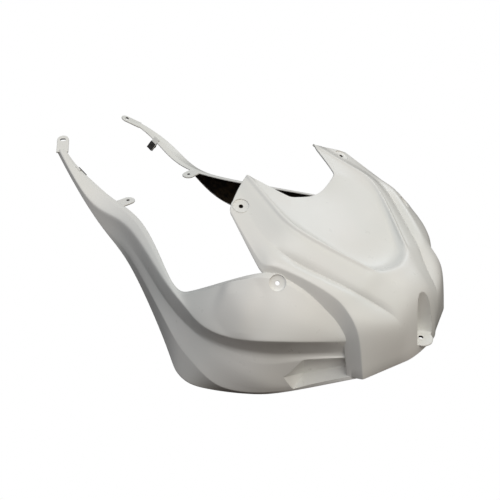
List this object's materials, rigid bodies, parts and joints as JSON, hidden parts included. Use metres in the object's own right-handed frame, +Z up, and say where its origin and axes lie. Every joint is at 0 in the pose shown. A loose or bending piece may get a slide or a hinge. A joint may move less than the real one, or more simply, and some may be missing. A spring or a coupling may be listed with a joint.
{
  "type": "motorcycle tank cover",
  "caption": "One-piece white race tank cover with a ridged hood, notched rear edge, folded side panels with scoops and long rear arms with screw tabs.",
  "frame": {"origin": "axis of the front screw hole, half way through the floor of the nose pocket", "axes": "+X forward to the nose, +Y to the rider's left, +Z up as on the motorcycle"},
  "size_m": [0.7045, 0.41, 0.2487],
  "materials": {
    "primer_white": "satin off-white primer outside, near-black raw laminate inside",
    "clip_black": "black phosphated spring steel"
  },
  "bodies": {
    "root": {"tank_cover": "primer_white", "clip_nut": "clip_black"}
  },
  "joints": []
}
